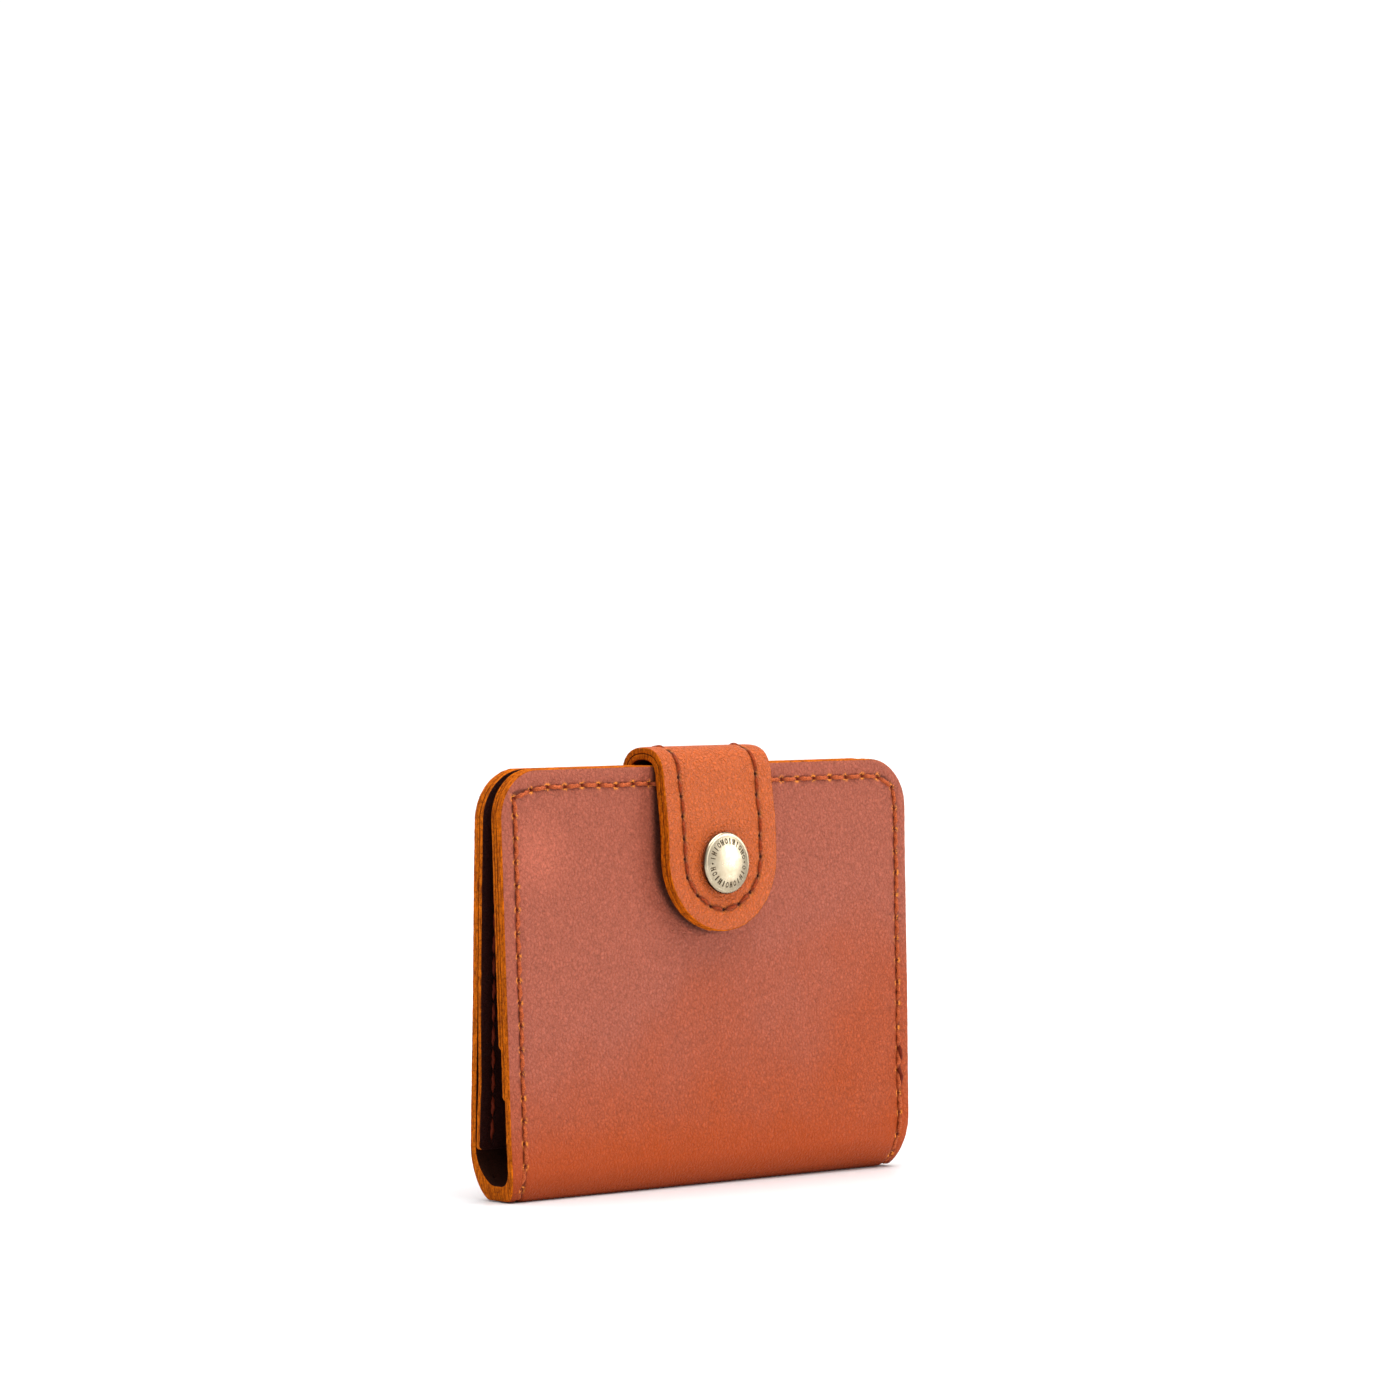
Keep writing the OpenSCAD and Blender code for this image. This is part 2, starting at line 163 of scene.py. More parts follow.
def cover_table():
    """Rows [length from the middle of the foot, outer y, outer z, inner y, inner z] up one wall."""
    flat = [(FOOT_HALF * k, 0, FOLD_FLAT * k, FOLD_T) for k in np.linspace(0, 1, 8, endpoint=False)]
    arc = []
    for t in np.linspace(0, math.pi / 2, 60, endpoint=False):
        up = 1 - math.cos(t)
        arc.append((FOOT_HALF + (BASE_HALF - FOOT_HALF) * math.sin(t), FOLD_RISE * up,
                    FOLD_FLAT + (BASE_HALF - COVER_T - FOLD_FLAT) * math.sin(t),
                    FOLD_T + (FOLD_RISE - FOLD_T) * up))
    straight = [(wall(z), z, wall(z) - COVER_T, z) for z in np.linspace(FOLD_RISE, HEIGHT, 40)]
    rows = np.array(flat + arc + straight)
    return np.column_stack([run_length(rows[:, :2]), rows])


COVER = cover_table()
COVER_LENGTH = COVER[-1, 0]


def cover_z(v):
    """Height of the cover's outer face at a length from the middle of the foot."""
    return at_length(v, COVER, 2)[0]


def cover_place(side):
    """Lays (x, v, depth) on the folded cover; side is -1 for the front and 1 for the rear."""
    def place(x, v, depth):
        outer, inner = at_length(v, COVER, 1, 2), at_length(v, COVER, 3, 4)
        share = depth / COVER_T
        y, z = (o + (i - o) * share for o, i in zip(outer, inner))
        slip = FOLD_SLIP * share * np.exp(-((z - 3) / 4) ** 2)
        return warp(x, side * y - slip, z, side)
    return place


def panel_place(side, start, flare=0):
    """Lays (x, z, depth) on a pocket panel whose hidden face is start deep inside the cover.

    flare is how far its ends, outside the seam, stand off the cover low down.
    """
    def place(x, z, depth):
        ends = smooth((abs(x) - HALF_W + SEAM_INSET) / SEAM_INSET)
        low = smooth((46 - z) / 24) * smooth((z - REAR_MOUTH + 1) / 5)
        off = flare * ends * low * (0.75 + 0.25 * np.sin(z / 3.1))
        return warp(x, side * (wall(z) - start - depth - off), z, side)
    return place


def smooth(t):
    """Eases from 0 to 1 as t does."""
    t = np.clip(t, 0, 1)
    return t * t * (3 - 2 * t)


def strap_table():
    """Rows [length, y, z, outward y, outward z] of the strap's inner face.

    The length runs from its lower end on the rear over the top edges to its tip. The bends are
    rounded by two passes of a moving average.
    """
    bend_half = (2 * TOP_HALF + STRAP_GAP_TOP) / 2
    rear = [(wall(z), z) for z in np.arange(ANCHOR_Z, HEIGHT, 0.5)]
    bend = [(bend_half * math.cos(t) - STRAP_GAP_TOP / 2, HEIGHT + BEND_RISE * math.sin(t))
            for t in np.linspace(0, math.pi, 40)]
    front = [(-(wall(z) + STRAP_GAP), z) for z in np.arange(KNEE_Z, TIP_Z - STRAP_HALF - 4, -0.5)]
    rough = np.array(rear + bend + front)
    step = 0.25
    length = run_length(rough)
    even = np.arange(0, length[-1], step)
    y, z = (np.interp(even, length, rough[:, k]) for k in (0, 1))
    reach = 9
    weights = np.hanning(2 * reach + 1)
    weights /= weights.sum()
    for _ in range(2):
        y[reach:-reach] = np.convolve(y, weights, "valid")
        z[reach:-reach] = np.convolve(z, weights, "valid")
    path = np.column_stack([y, z])
    out = unit(np.column_stack([np.gradient(z), -np.gradient(y)]))
    return np.column_stack([run_length(path), path, out])


STRAP = strap_table()
STRAP_TOP = STRAP[np.argmax(STRAP[:, 2]), 0]
STRAP_FRONT = STRAP[STRAP[:, 0] > STRAP_TOP]
STRAP_TIP = float(np.interp(-TIP_Z, -STRAP_FRONT[:, 2], STRAP_FRONT[:, 0]))
CAP_DIMPLE = (0, STRAP_TIP + TIP_Z - SNAP_Z, 7.3, 0.3)  # where the cap presses the strap in


def strap_place(face):
    """Lays (x, v, depth) on the strap, depth in from a face that is face above its inner side."""
    def place(x, v, depth):
        y, z, ny, nz = at_length(v, STRAP, 1, 2, 3, 4)
        out = face - depth
        return warp(x, y + ny * out, z + nz * out, 0)
    return place


def warp(x, y, z, side):
    """The set that wear gives the leather: the walls lean and bow a little and the fold is twisted."""
    u = x / HALF_W
    rise = np.maximum(0, (z - FOLD_RISE) / (HEIGHT - FOLD_RISE))
    low = np.maximum(0, 1 - z / FOLD_TWIST_Z) ** 2
    wave = np.sin(x / 11 + 1.3 * side) * np.sin(z / 9 + 0.6) * WAVE * np.minimum(1, rise * 4)
    lean = (BOW * side * u * u - u) * rise
    twist = (FOLD_SHIFT + FOLD_TWIST * u) * low
    return np.column_stack([x * (1 - FOLD_DRAW * low), y + lean + twist + side * wave, z])


# ---- Outlines and seams, drawn flat ----
def spaced(a, b, step):
    """Numbers strictly between a and b, about step apart."""
    count = max(1, round(abs(b - a) / step))
    return np.linspace(a, b, count + 1)[1:-1]


def outline(half, v0, v1, r0, r1, cut=None):
    """A rounded rectangle as points and their inward directions.

    cut names the end, low or high, where the sheet goes on in another piece. It has no inward
    direction there, so its edge isn't rounded.
    """
    corners = [(1, v0, r0, 270), (1, v1, r1, 0), (-1, v1, r1, 90), (-1, v0, r0, 180)]
    points, inward = [], []
    for sx, v, r, start in corners:
        sv = 1 if v == v0 else -1
        if sx == sv:
            is_cut = cut == ("low" if sv > 0 else "high")
            for x in spaced(-sx * (half - r), sx * (half - r), EDGE_STEP):
                points.append((x, v))
                inward.append((0, 0 if is_cut else sv))
        else:
            other = (v0 + r0, v1 - r1) if sx > 0 else (v1 - r1, v0 + r0)
            for w in spaced(*other, EDGE_STEP):
                points.append((sx * half, w))
                inward.append((-sx, 0))
        if r == 0:
            points.append((sx * half, v))
            inward.append((-sx, 0))
            continue
        turns = max(6, round(r * math.pi / 2 / EDGE_STEP))
        for k in range(turns + 1):
            a = math.radians(start + 90 * k / turns)
            points.append((sx * (half - r) + r * math.cos(a), v + sv * r + r * math.sin(a)))
            inward.append((-math.cos(a), -math.sin(a)))
    return np.array(points), np.array(inward)


def rounded_path(corners, radius):
    """Points close together along straight runs with rounded corners."""
    corners = [np.array(c, float) for c in corners]
    path = [corners[0]]
    for k in range(1, len(corners) - 1):
        a, b, c = corners[k - 1:k + 2]
        into, out = (a - b) / np.linalg.norm(a - b), (c - b) / np.linalg.norm(c - b)
        start, end = b + into * radius, b + out * radius
        for t in np.linspace(0, 1, 24):
            path.append(start * (1 - t) ** 2 + 2 * b * t * (1 - t) + end * t * t)
    return walk(np.array(path + [corners[-1]]), 0.2)


def walk(path, step):
    """Points evenly spaced along a path, about step apart."""
    length = run_length(path)
    even = np.linspace(0, length[-1], max(1, round(length[-1] / step)) + 1)
    return np.column_stack([np.interp(even, length, path[:, k]) for k in (0, 1)])


def hand_sewn(holes, seed):
    """Moves holes a little off their marks, as an awl does."""
    draw = np.random.default_rng(seed)
    return holes + draw.normal(0, HAND_SHAKE, holes.shape)


def nearest(points, targets):
    """Distance from each point to the nearest target."""
    best = np.full(len(points), np.inf)
    for k in range(0, len(targets), 200):
        part = targets[k:k + 200]
        gap = np.hypot(points[:, None, 0] - part[None, :, 0], points[:, None, 1] - part[None, :, 1])
        best = np.minimum(best, gap.min(axis=1))
    return best


def inside(points, loop):
    """Which points lie inside a closed loop."""
    result = np.zeros(len(points), bool)
    for (x0, v0), (x1, v1) in zip(loop, np.roll(loop, -1, axis=0)):
        if v0 == v1:
            continue
        crosses = (v0 > points[:, 1]) != (v1 > points[:, 1])
        result ^= crosses & (points[:, 0] < (x1 - x0) * (points[:, 1] - v0) / (v1 - v0) + x0)
    return result


# ---- Meshes ----
FACE, EDGE, BACK = 0, 1, 2  # a sheet's materials, in this order
THREAD_SIDES, THREAD_RINGS = 10, 15


def in_scene(name, data):
    item = bpy.data.objects.new(name, data)
    bpy.context.scene.collection.objects.link(item)
    return item


def new_piece(name, points, faces, slots, materials, numbers):
    """A mesh object from points in millimetres, with numbers stored at each point.

    slots says which of the materials each face has.
    """
    mesh = bpy.data.meshes.new(name)
    mesh.from_pydata([Vector(p) * MM for p in points], [], faces)
    for material in materials:
        mesh.materials.append(material)
    mesh.polygons.foreach_set("material_index", slots)
    mesh.polygons.foreach_set("use_smooth", [True] * len(faces))
    rest = mesh.attributes.new("rest", "FLOAT_VECTOR", "POINT")
    rest.data.foreach_set("vector", np.asarray(points, np.float32).ravel())
    for key, values in numbers.items():
        mesh.attributes.new(key, "FLOAT", "POINT").data.foreach_set("value", values)
    mesh.update()
    mesh.set_sharp_from_angle(angle=math.radians(55))
    return in_scene(name, mesh)


def fill_points(loop, holes, seam, spacing):
    """Points for the middle of a sheet: a grid, rings at the needle holes, rows along the seam."""
    low, high = loop.min(axis=0), loop.max(axis=0)
    grid = []
    v, odd = low[1], False
    while v < high[1]:
        dx, dv = spacing(v)
        grid.extend((x, v) for x in np.arange(low[0] + (dx / 2 if odd else 0), high[0], dx))
        v, odd = v + dv, not odd
    grid = np.array(grid)
    marks = []
    for k, (x, v) in enumerate(holes):
        marks.append((x, v))
        for r, count in HOLE_RINGS:
            for a in np.arange(count) * 2 * math.pi / count + k:
                marks.append((x + r * math.cos(a), v + r * math.sin(a)))
    rows = walk(seam, 0.8)
    along = unit(np.gradient(rows, axis=0))
    across = np.column_stack([-along[:, 1], along[:, 0]])
    for off in (-SEAM_ZONE, -0.8, -0.3, 0.3, 0.8, SEAM_ZONE):
        row = rows + across * off
        marks.extend(row[nearest(row, holes) > HOLE_RINGS[-1][0] + 0.2])
    points = np.vstack([grid[nearest(grid, seam) > SEAM_ZONE], np.array(marks)])
    return points[inside(points, loop) & (nearest(points, loop) > 0.35)]


def rim_profile(thickness):
    """Rows (inset, depth) down a cut edge from the face to the inner face, rounded at both."""
    profile = [(OUTER_ROUND * (1 - math.sin(a)), OUTER_ROUND * (1 - math.cos(a)))
               for a in np.radians([0, 22, 45, 67, 90])]
    profile += [(0, d) for d in spaced(OUTER_ROUND, thickness - INNER_ROUND, 0.22)]
    profile += [(INNER_ROUND * (1 - math.cos(a)), thickness - INNER_ROUND * (1 - math.sin(a)))
                for a in np.radians([0, 30, 60, 90])]
    return profile


def triangulated(rim, fill):
    """Flat points and triangles of a sheet, and which point each rim point became."""
    flat = [Vector(p) for p in np.vstack([rim, fill])]
    count = len(rim)
    ring = [(k, (k + 1) % count) for k in range(count)]
    verts, _, faces, origin, _, _ = geometry.delaunay_2d_cdt(flat, ring, [], 1, 1e-5)
    plan = np.array([tuple(v) for v in verts])
    source = [o[0] if o else -1 for o in origin]
    rim_at = {s: k for k, s in enumerate(source) if 0 <= s < count}
    return plan, [tuple(f) for f in faces], rim_at


def pressed(plan, holes, seam, dimples):
    """How deep each point is pressed in, and how near it is to a needle hole and to the seam."""
    to_hole, to_seam = nearest(plan, holes), nearest(plan, seam)
    pit = np.exp(-(to_hole / 0.45) ** 2)
    groove = np.exp(-(to_seam / 0.78) ** 2)
    relief = (HOLE_DEPTH * np.exp(-(to_hole / 0.3) ** 2)
              + GROOVE_DEPTH * np.exp(-(to_seam / 0.8) ** 2))
    for x, v, r, deep in dimples:
        relief += deep * np.exp(-(np.hypot(plan[:, 0] - x, plan[:, 1] - v) / r) ** 4)
    return relief, pit, groove


def frayed(loop, depth, thickness, seed):
    """How far a raw edge's fibres stand in or out at one depth."""
    spread = min(1, depth / OUTER_ROUND) * min(1, (thickness - depth) / INNER_ROUND)
    rough = [noise.noise(Vector((x * 0.9, v * 0.9, depth * 2.2 + seed)))
             + 0.6 * noise.noise(Vector((x * 2.3, v * 2.3, depth * 4 + seed))) for x, v in loop]
    return np.array(rough) * EDGE_FIBRE * spread


def sheet_of_leather(name, shape, place, thickness, materials, holes, seam, spacing,
                     dimples=(), shade_low_edge=False, seed=0):
    """One cut piece of leather with rounded rims and needle pits, closed all round.

    shape is its outline and inward directions, and materials are those of its face, its cut edge
    and its inner face. Each dimple is (x, v, radius, depth). A flag gives its lower edge the inner
    face's material instead, as painted shade where that edge lies inside the wallet.
    """
    loop, inward = shape
    raw = np.hypot(*inward.T) > 0
    profile = rim_profile(thickness)
    rim = loop + inward * profile[0][0]
    plan, tris, rim_at = triangulated(rim, fill_points(rim, holes, seam, spacing))
    relief, pit, groove = pressed(plan, holes, seam, dimples)
    edge = np.exp(-nearest(plan, loop[raw]) / 0.9)
    outer = place(plan[:, 0], plan[:, 1], relief + EDGE_SAG * edge)
    back = plan.copy()
    for s, k in rim_at.items():
        back[k] = loop[s] + inward[s] * profile[-1][0]
    through = 0.6 if thickness > THIN else 0
    inner = place(back[:, 0], back[:, 1], thickness - through * relief)

    n, count = len(plan), len(loop)
    points = [outer, inner]
    faces = tris + [tuple(n + k for k in reversed(f)) for f in tris]
    kinds = [FACE] * len(tris) + [BACK] * len(tris)
    ring = [(k, (k + 1) % count) for k in range(count)]
    before = [rim_at[k] for k in range(count)]
    total = 2 * n
    for inset, depth in profile[1:-1]:
        at = loop + inward * (inset + frayed(loop, depth, thickness, seed))[:, None]
        sag = EDGE_SAG * max(0, 1 - depth / OUTER_ROUND)
        points.append(place(at[:, 0], at[:, 1], np.full(count, depth) + sag))
        here = list(range(total, total + count))
        total += count
        for a, b in ring:
            # painted shade: a pocket's lower edge inside the wallet takes the inner face's dark
            # material
            low_in_shade = shade_low_edge and inward[a][1] > 0.9
            faces.append((before[b], before[a], here[a], here[b]))
            kinds.append(FACE if depth <= RIM_SKIN else BACK if low_in_shade else EDGE)
        before = here
    for a, b in ring:
        faces.append((before[b], before[a], n + rim_at[a], n + rim_at[b]))
        kinds.append(BACK)
    none = np.zeros(total - 2 * n)
    numbers = {"pit": np.concatenate([pit, pit, none]),
               "groove": np.concatenate([groove, groove, none])}
    return new_piece(name, np.vstack(points), faces, kinds, materials, numbers)


def one_stitch(place, a, b, proud, index, thread_r):
    """Rings of points of a twisted thread that rises from hole a and dives into hole b."""
    a, b = np.array(a), np.array(b)
    along = (b - a) / np.linalg.norm(b - a)
    across = np.array([-along[1], along[0]])
    t = np.linspace(0, 1, THREAD_RINGS)
    lift = np.sin(math.pi * t) ** 0.65
    stray = STRAY * np.sin(math.pi * t) * math.sin(2.4 * index)
    flat = a + (b - a) * t[:, None] + across * stray[:, None]
    height = -STITCH_SINK + (STITCH_SINK + proud) * lift
    centre = place(flat[:, 0], flat[:, 1], -height)
    up = unit(place(flat[:, 0], flat[:, 1], -height - 1) - centre)
    forward = np.gradient(centre, axis=0)
    right = unit(np.cross(forward, up))
    up = unit(np.cross(right, forward))
    points = []
    for c, u, r, s in zip(centre, up, right, t):
        for q in 2 * math.pi * np.arange(THREAD_SIDES) / THREAD_SIDES:
            twist = math.cos(2 * (q - s * TWIST - index))
            radius = thread_r * (1 - PLY_DEPTH + PLY_DEPTH * twist)
            points.append(c + radius * (math.cos(q) * r + math.sin(q) * u))
    return points, lift


def stitches(name, runs, material, thread_r=THREAD_R):
    """Twisted thread laid from hole to hole.

    Each run is (place, pairs, proud, soiled): the place function of the face the thread lies on,
    the ends of each stitch, how far the thread's middle stands above that face, and how dark it
    is, from 0 to 1.
    """
    sides, rings = THREAD_SIDES, THREAD_RINGS
    points, faces, ends = [], [], []
    for place, pairs, proud, darkness in runs:
        for index, (a, b) in enumerate(pairs):
            base = len(points)
            added, lift = one_stitch(place, a, b, proud, index, thread_r)
            points.extend(added)
            for i in range(rings - 1):
                low, high = base + i * sides, base + (i + 1) * sides
                for j in range(sides):
                    m = (j + 1) % sides
                    faces.append((low + j, high + j, high + m, low + m))
            last = base + (rings - 1) * sides
            faces.append(tuple(base + j for j in range(sides)))
            faces.append(tuple(last + j for j in reversed(range(sides))))
            # how dark the thread is: painted shade where it dives into a hole, and at least its run's
            # darkness
            ends.extend(np.repeat(np.maximum(1 - lift, darkness), sides))
    return new_piece(name, points, faces, [0] * len(faces), [material], {"end": np.array(ends)})


def pairs_of(holes):
    return list(zip(holes[:-1], holes[1:]))


def lathe(name, profile, segments, matrix, material, numbers, shift):
    """A turned piece: profile rows (radius, height) spun about its own Z and set by matrix.

    shift(radius, angle) is added to a height.
    """
    points, faces = [], []
    count = len(profile)
    for k in range(segments):
        a = 2 * math.pi * k / segments
        for r, h in profile:
            points.append(matrix @ Vector((r * math.cos(a), r * math.sin(a), h + shift(r, a))))
    for k in range(segments):
        m = (k + 1) % segments
        for j in range(count - 1):
            faces.append((k * count + j, m * count + j, m * count + j + 1, k * count + j + 1))
    faces.append(tuple(k * count for k in reversed(range(segments))))
    faces.append(tuple(k * count + count - 1 for k in range(segments)))
    return new_piece(name, points, faces, [0] * len(faces), [material], numbers)


# ---- Materials ----
def rgb(r, g, b):
    """A colour given as screen values, made linear."""
    return tuple(((c / 255 + 0.055) / 1.055) ** 2.4 if c > 10 else c / 3294 for c in (r, g, b)) + (1,)


class Nodes:
    """A few short names for building the node tree of a material or of the world."""

    def __init__(self, owner):
        owner.use_nodes = True
        self.owner = owner
        self.tree = owner.node_tree

    def feed(self, socket, value):
        """Links a socket to an input, or sets the input to a plain value."""
        if isinstance(value, bpy.types.NodeSocket):
            self.tree.links.new(value, socket)
        else:
            socket.default_value = value

    def add(self, kind, inputs=None, **settings):
        node = self.tree.nodes.new(kind)
        for key, value in settings.items():
            setattr(node, key, value)
        for key, value in (inputs or {}).items():
            self.feed(node.inputs[key], value)
        return node

    def plug(self, name, value):
        self.feed(self.tree.nodes["Principled BSDF"].inputs[name], value)

    def number(self, name):
        """One of the numbers that new_piece stores at each point."""
        return self.add("ShaderNodeAttribute", attribute_name=name).outputs["Fac"]

    def times(self, vector, by):
        return self.add("ShaderNodeVectorMath", {0: vector, 1: by}, operation="MULTIPLY").outputs[0]

    def rest(self, scale=(1, 1, 1)):
        """The point's place at rest in millimetres, scaled."""
        place = self.add("ShaderNodeAttribute", attribute_name="rest").outputs["Vector"]
        return self.times(place, scale)

    def noise(self, vector, scale, detail=3, rough=0.55):
        return self.add("ShaderNodeTexNoise", {"Vector": vector, "Scale": scale, "Detail": detail,
                                               "Roughness": rough}).outputs["Fac"]

    def ramp(self, value, low, high, out_low=0, out_high=1):
        """Follows value from out_low at low to out_high at high."""
        return self.add("ShaderNodeMapRange", {"Value": value, "From Min": low, "From Max": high,
                                               "To Min": out_low, "To Max": out_high}).outputs[0]

    def math(self, operation, a, b):
        return self.add("ShaderNodeMath", {0: a, 1: b}, operation=operation).outputs[0]

    def mix(self, factor, a, b, blend="MIX"):
        return self.add("ShaderNodeMix", {0: factor, 6: a, 7: b}, data_type="RGBA",
                        blend_type=blend).outputs[2]

    def shaded(self, colour, factor):
        """A colour times a plain number."""
        grey = self.add("ShaderNodeCombineColor", {0: factor, 1: factor, 2: factor}).outputs[0]
        return self.mix(1.0, colour, grey, "MULTIPLY")

    def bump(self, height, distance, strength=1.0, normal=None):
        inputs = {"Height": height, "Distance": distance * MM, "Strength": strength}
        if normal:
            inputs["Normal"] = normal
        return self.add("ShaderNodeBump", inputs).outputs["Normal"]


def material_nodes(name):
    return Nodes(bpy.data.materials.new(name))


def grain_leather(name, high, low, rough=0.5, torn=0.0, fold_shade_level=1.0, grain=0.2, strap_shadow_level=1.0,
                  groove_shade_level=0.36, speckle=0.2, shine=0.12):
    """The grain side in its dye colours: fine pebbled grain with soft blotches, and painted shade at
    the pebbles' edges.

    high and low are its colours at the top and at the fold; on the cover the higher one is partly a
    painted sheen. torn is how much raw fibre shows round the holes, grain the height of the pebbles,
    speckle the contrast of the fine grain and shine the specular level. Three numbers give the
    brightness of the painted shade at the fold, of the painted shadow along the strap's edge and of
    the painted shade in the seam's groove.
    """
    n = material_nodes(name)
    rest = n.rest()
    axes = n.add("ShaderNodeSeparateXYZ", {0: rest}).outputs
    colour = dye_and_sheen(n, rest, axes, high, low)
    turned = n.add("ShaderNodeVectorRotate", {"Vector": rest, "Axis": (0.5, 0.3, 0.8),
                                              "Angle": 0.7}).outputs[0]
    mottle = n.noise(turned, 1.0, 4, 0.65)
    fine = n.noise(turned, 1.8, 4, 0.7)
    colour = n.shaded(colour, n.ramp(mottle, 0.35, 0.65, 1.1, 0.9))
    colour = n.shaded(colour, n.ramp(fine, 0.35, 0.65, 1 - speckle, 1 + speckle))
    cells = n.add("ShaderNodeTexVoronoi", {"Vector": turned, "Scale": 1.2, "Randomness": 1.0},
                  feature="DISTANCE_TO_EDGE").outputs["Distance"]
    # the pebbles' grain, with painted shade at their edges and a painted highlight in their middles
    colour = n.shaded(colour, n.ramp(cells, 0, 0.25, 0.86, 1.05))
    colour = painted_shade_and_sheen(n, colour, rest, axes, fold_shade_level, strap_shadow_level)
    n.plug("Base Color", seam_shade_and_fibre(n, colour, rest, groove_shade_level, torn))
    n.plug("Roughness", n.ramp(mottle, 0.3, 0.8, rough - 0.06, rough + 0.1))
    n.plug("Specular IOR Level", shine)
    pebble = n.math("ADD", n.ramp(cells, 0, 0.35, 0, 0.5), fine)
    normal = n.bump(pebble, grain, 1.0)
    n.plug("Normal", n.bump(n.noise(turned, 0.45, 2), 0.15, 0.6, normal))
    return n.owner


def dye_and_sheen(n, rest, axes, high, low):
    """Two colours that meet in a soft, blotchy, slightly leaning line low on the wall; the higher
    one is partly dye and partly a painted sheen, paler and pinker towards the upper left.
    """
    blotch = n.noise(rest, 0.035, 2)
    height = n.ramp(axes[2], 0, HEIGHT)
    lean = n.ramp(axes[0], -HALF_W, HALF_W, 0.14, -0.14)
    tone = n.math("ADD", n.math("ADD", height, lean), n.ramp(blotch, 0.3, 0.7, -0.15, 0.15))
    return n.mix(n.ramp(tone, 0.05, 0.55), low, high)


def painted_shade_and_sheen(n, colour, rest, axes, fold_shade_level, strap_shadow_level):
    """Darker and yellower on the fold, as a tint with painted shade; paler on the front's upper left
    corner, as a painted sheen; darker along the strap's edge, as a painted shadow.
    """
    if fold_shade_level < 1:
        # painted shade: the fold is tinted warmer and darkened low on the wall, where it curves under
        colour = n.mix(n.ramp(axes[2], 3, 15, 0.75, 0), colour, FOLD_TINT_AND_SHADE)
        colour = n.shaded(colour, n.ramp(axes[2], 0.5, 6.5, fold_shade_level, 1))
    # painted sheen: paler round a spot near the front's upper left corner
    to_sheen = n.add("ShaderNodeVectorMath", {0: rest, 1: SHEEN_SPOT}, operation="DISTANCE")
    colour = n.shaded(colour, n.ramp(to_sheen.outputs["Value"], 2, 10, 1.25, 1))
    # painted shadow of the strap, along and a little under its edge on the front
    if strap_shadow_level < 1:
        colour = n.shaded(colour, n.ramp(painted_strap_shadow(n, axes), 0, 1, 1, strap_shadow_level))
    return colour


def seam_shade_and_fibre(n, colour, rest, groove_shade_level, torn):
    """Painted shade in the seam's groove and darker painted shade in its holes, with torn fibre round
    them.
    """
    # painted shade in the seam's groove
    colour = n.shaded(colour, n.ramp(n.number("groove"), 0.4, 0.95, 1, groove_shade_level))
    pit = n.number("pit")
    if torn:
        tufts = n.ramp(n.noise(rest, 1.7, 3, 0.7), 0.44, 0.54)
        colour = n.mix(n.math("MULTIPLY", n.ramp(pit, 0.02, 0.1, 0, torn), tufts), colour, RAW_FIBRE)
    # painted shade in the needle holes
    return n.mix(n.ramp(pit, 0.34, 0.7), colour, HOLE_SHADE)


def painted_strap_shadow(n, axes):
    """1 along the band of painted shadow that the strap casts on the front's leather, at its edge and
    a little under it.
    """
    below = n.math("MINIMUM", n.math("SUBTRACT", axes[2], TIP_Z), 0)
    off = n.add("ShaderNodeCombineXYZ", {0: axes[0], 1: below}).outputs[0]
    reach = n.add("ShaderNodeVectorMath", {0: off}, operation="LENGTH").outputs["Value"]
    shadow_band = n.math("MULTIPLY", n.ramp(reach, STRAP_HALF - 0.6, STRAP_HALF + 1.1, 1, 0),
                    n.ramp(reach, STRAP_HALF - 5.5, STRAP_HALF - 2, 0.25, 1))
    return n.math("MULTIPLY", shadow_band, n.ramp(axes[1], -2, -1, 1, 0))


def cut_leather(name):
    """The raw ochre edge: layered fibres that run along the cut."""
    n = material_nodes(name)
    ochre, brown, burnt, pale = rgb(220, 110, 8), rgb(136, 60, 6), rgb(88, 38, 6), rgb(236, 148, 40)
    layers = n.noise(n.rest((0.35, 3.0, 0.35)), 1.0, 4, 0.7)
    specks = n.noise(n.rest(), 1.6, 4, 0.75)
    colour = n.mix(n.ramp(layers, 0.36, 0.64), ochre, brown)
    colour = n.mix(n.ramp(specks, 0.5, 0.66, 0, 0.75), colour, burnt)
    colour = n.mix(n.ramp(specks, 0.28, 0.42, 0.5, 0), colour, pale)
    n.plug("Base Color", colour)
    n.plug("Roughness", 0.95)
    n.plug("Specular IOR Level", 0.08)
    normal = n.bump(layers, 0.25, 0.6)
    n.plug("Normal", n.bump(specks, 0.16, 0.7, normal))
    return n.owner


def flesh_leather(name, base, dark):
    """The napped inner side."""
    n = material_nodes(name)
    rest = n.rest()
    nap = n.noise(rest, 2.4, 5, 0.75)
    cloud = n.noise(rest, 0.12, 3)
    colour = n.mix(n.ramp(nap, 0.35, 0.7), base, dark)
    colour = n.mix(n.ramp(cloud, 0.35, 0.7, 0, 0.4), colour, dark)
    # painted shade in the needle holes
    colour = n.mix(n.ramp(n.number("pit"), 0.4, 0.85), colour, rgb(40, 16, 10))
    n.plug("Base Color", colour)
    n.plug("Roughness", 0.95)
    n.plug("Specular IOR Level", 0.1)
    n.plug("Normal", n.bump(nap, 0.12, 0.7))
    return n.owner


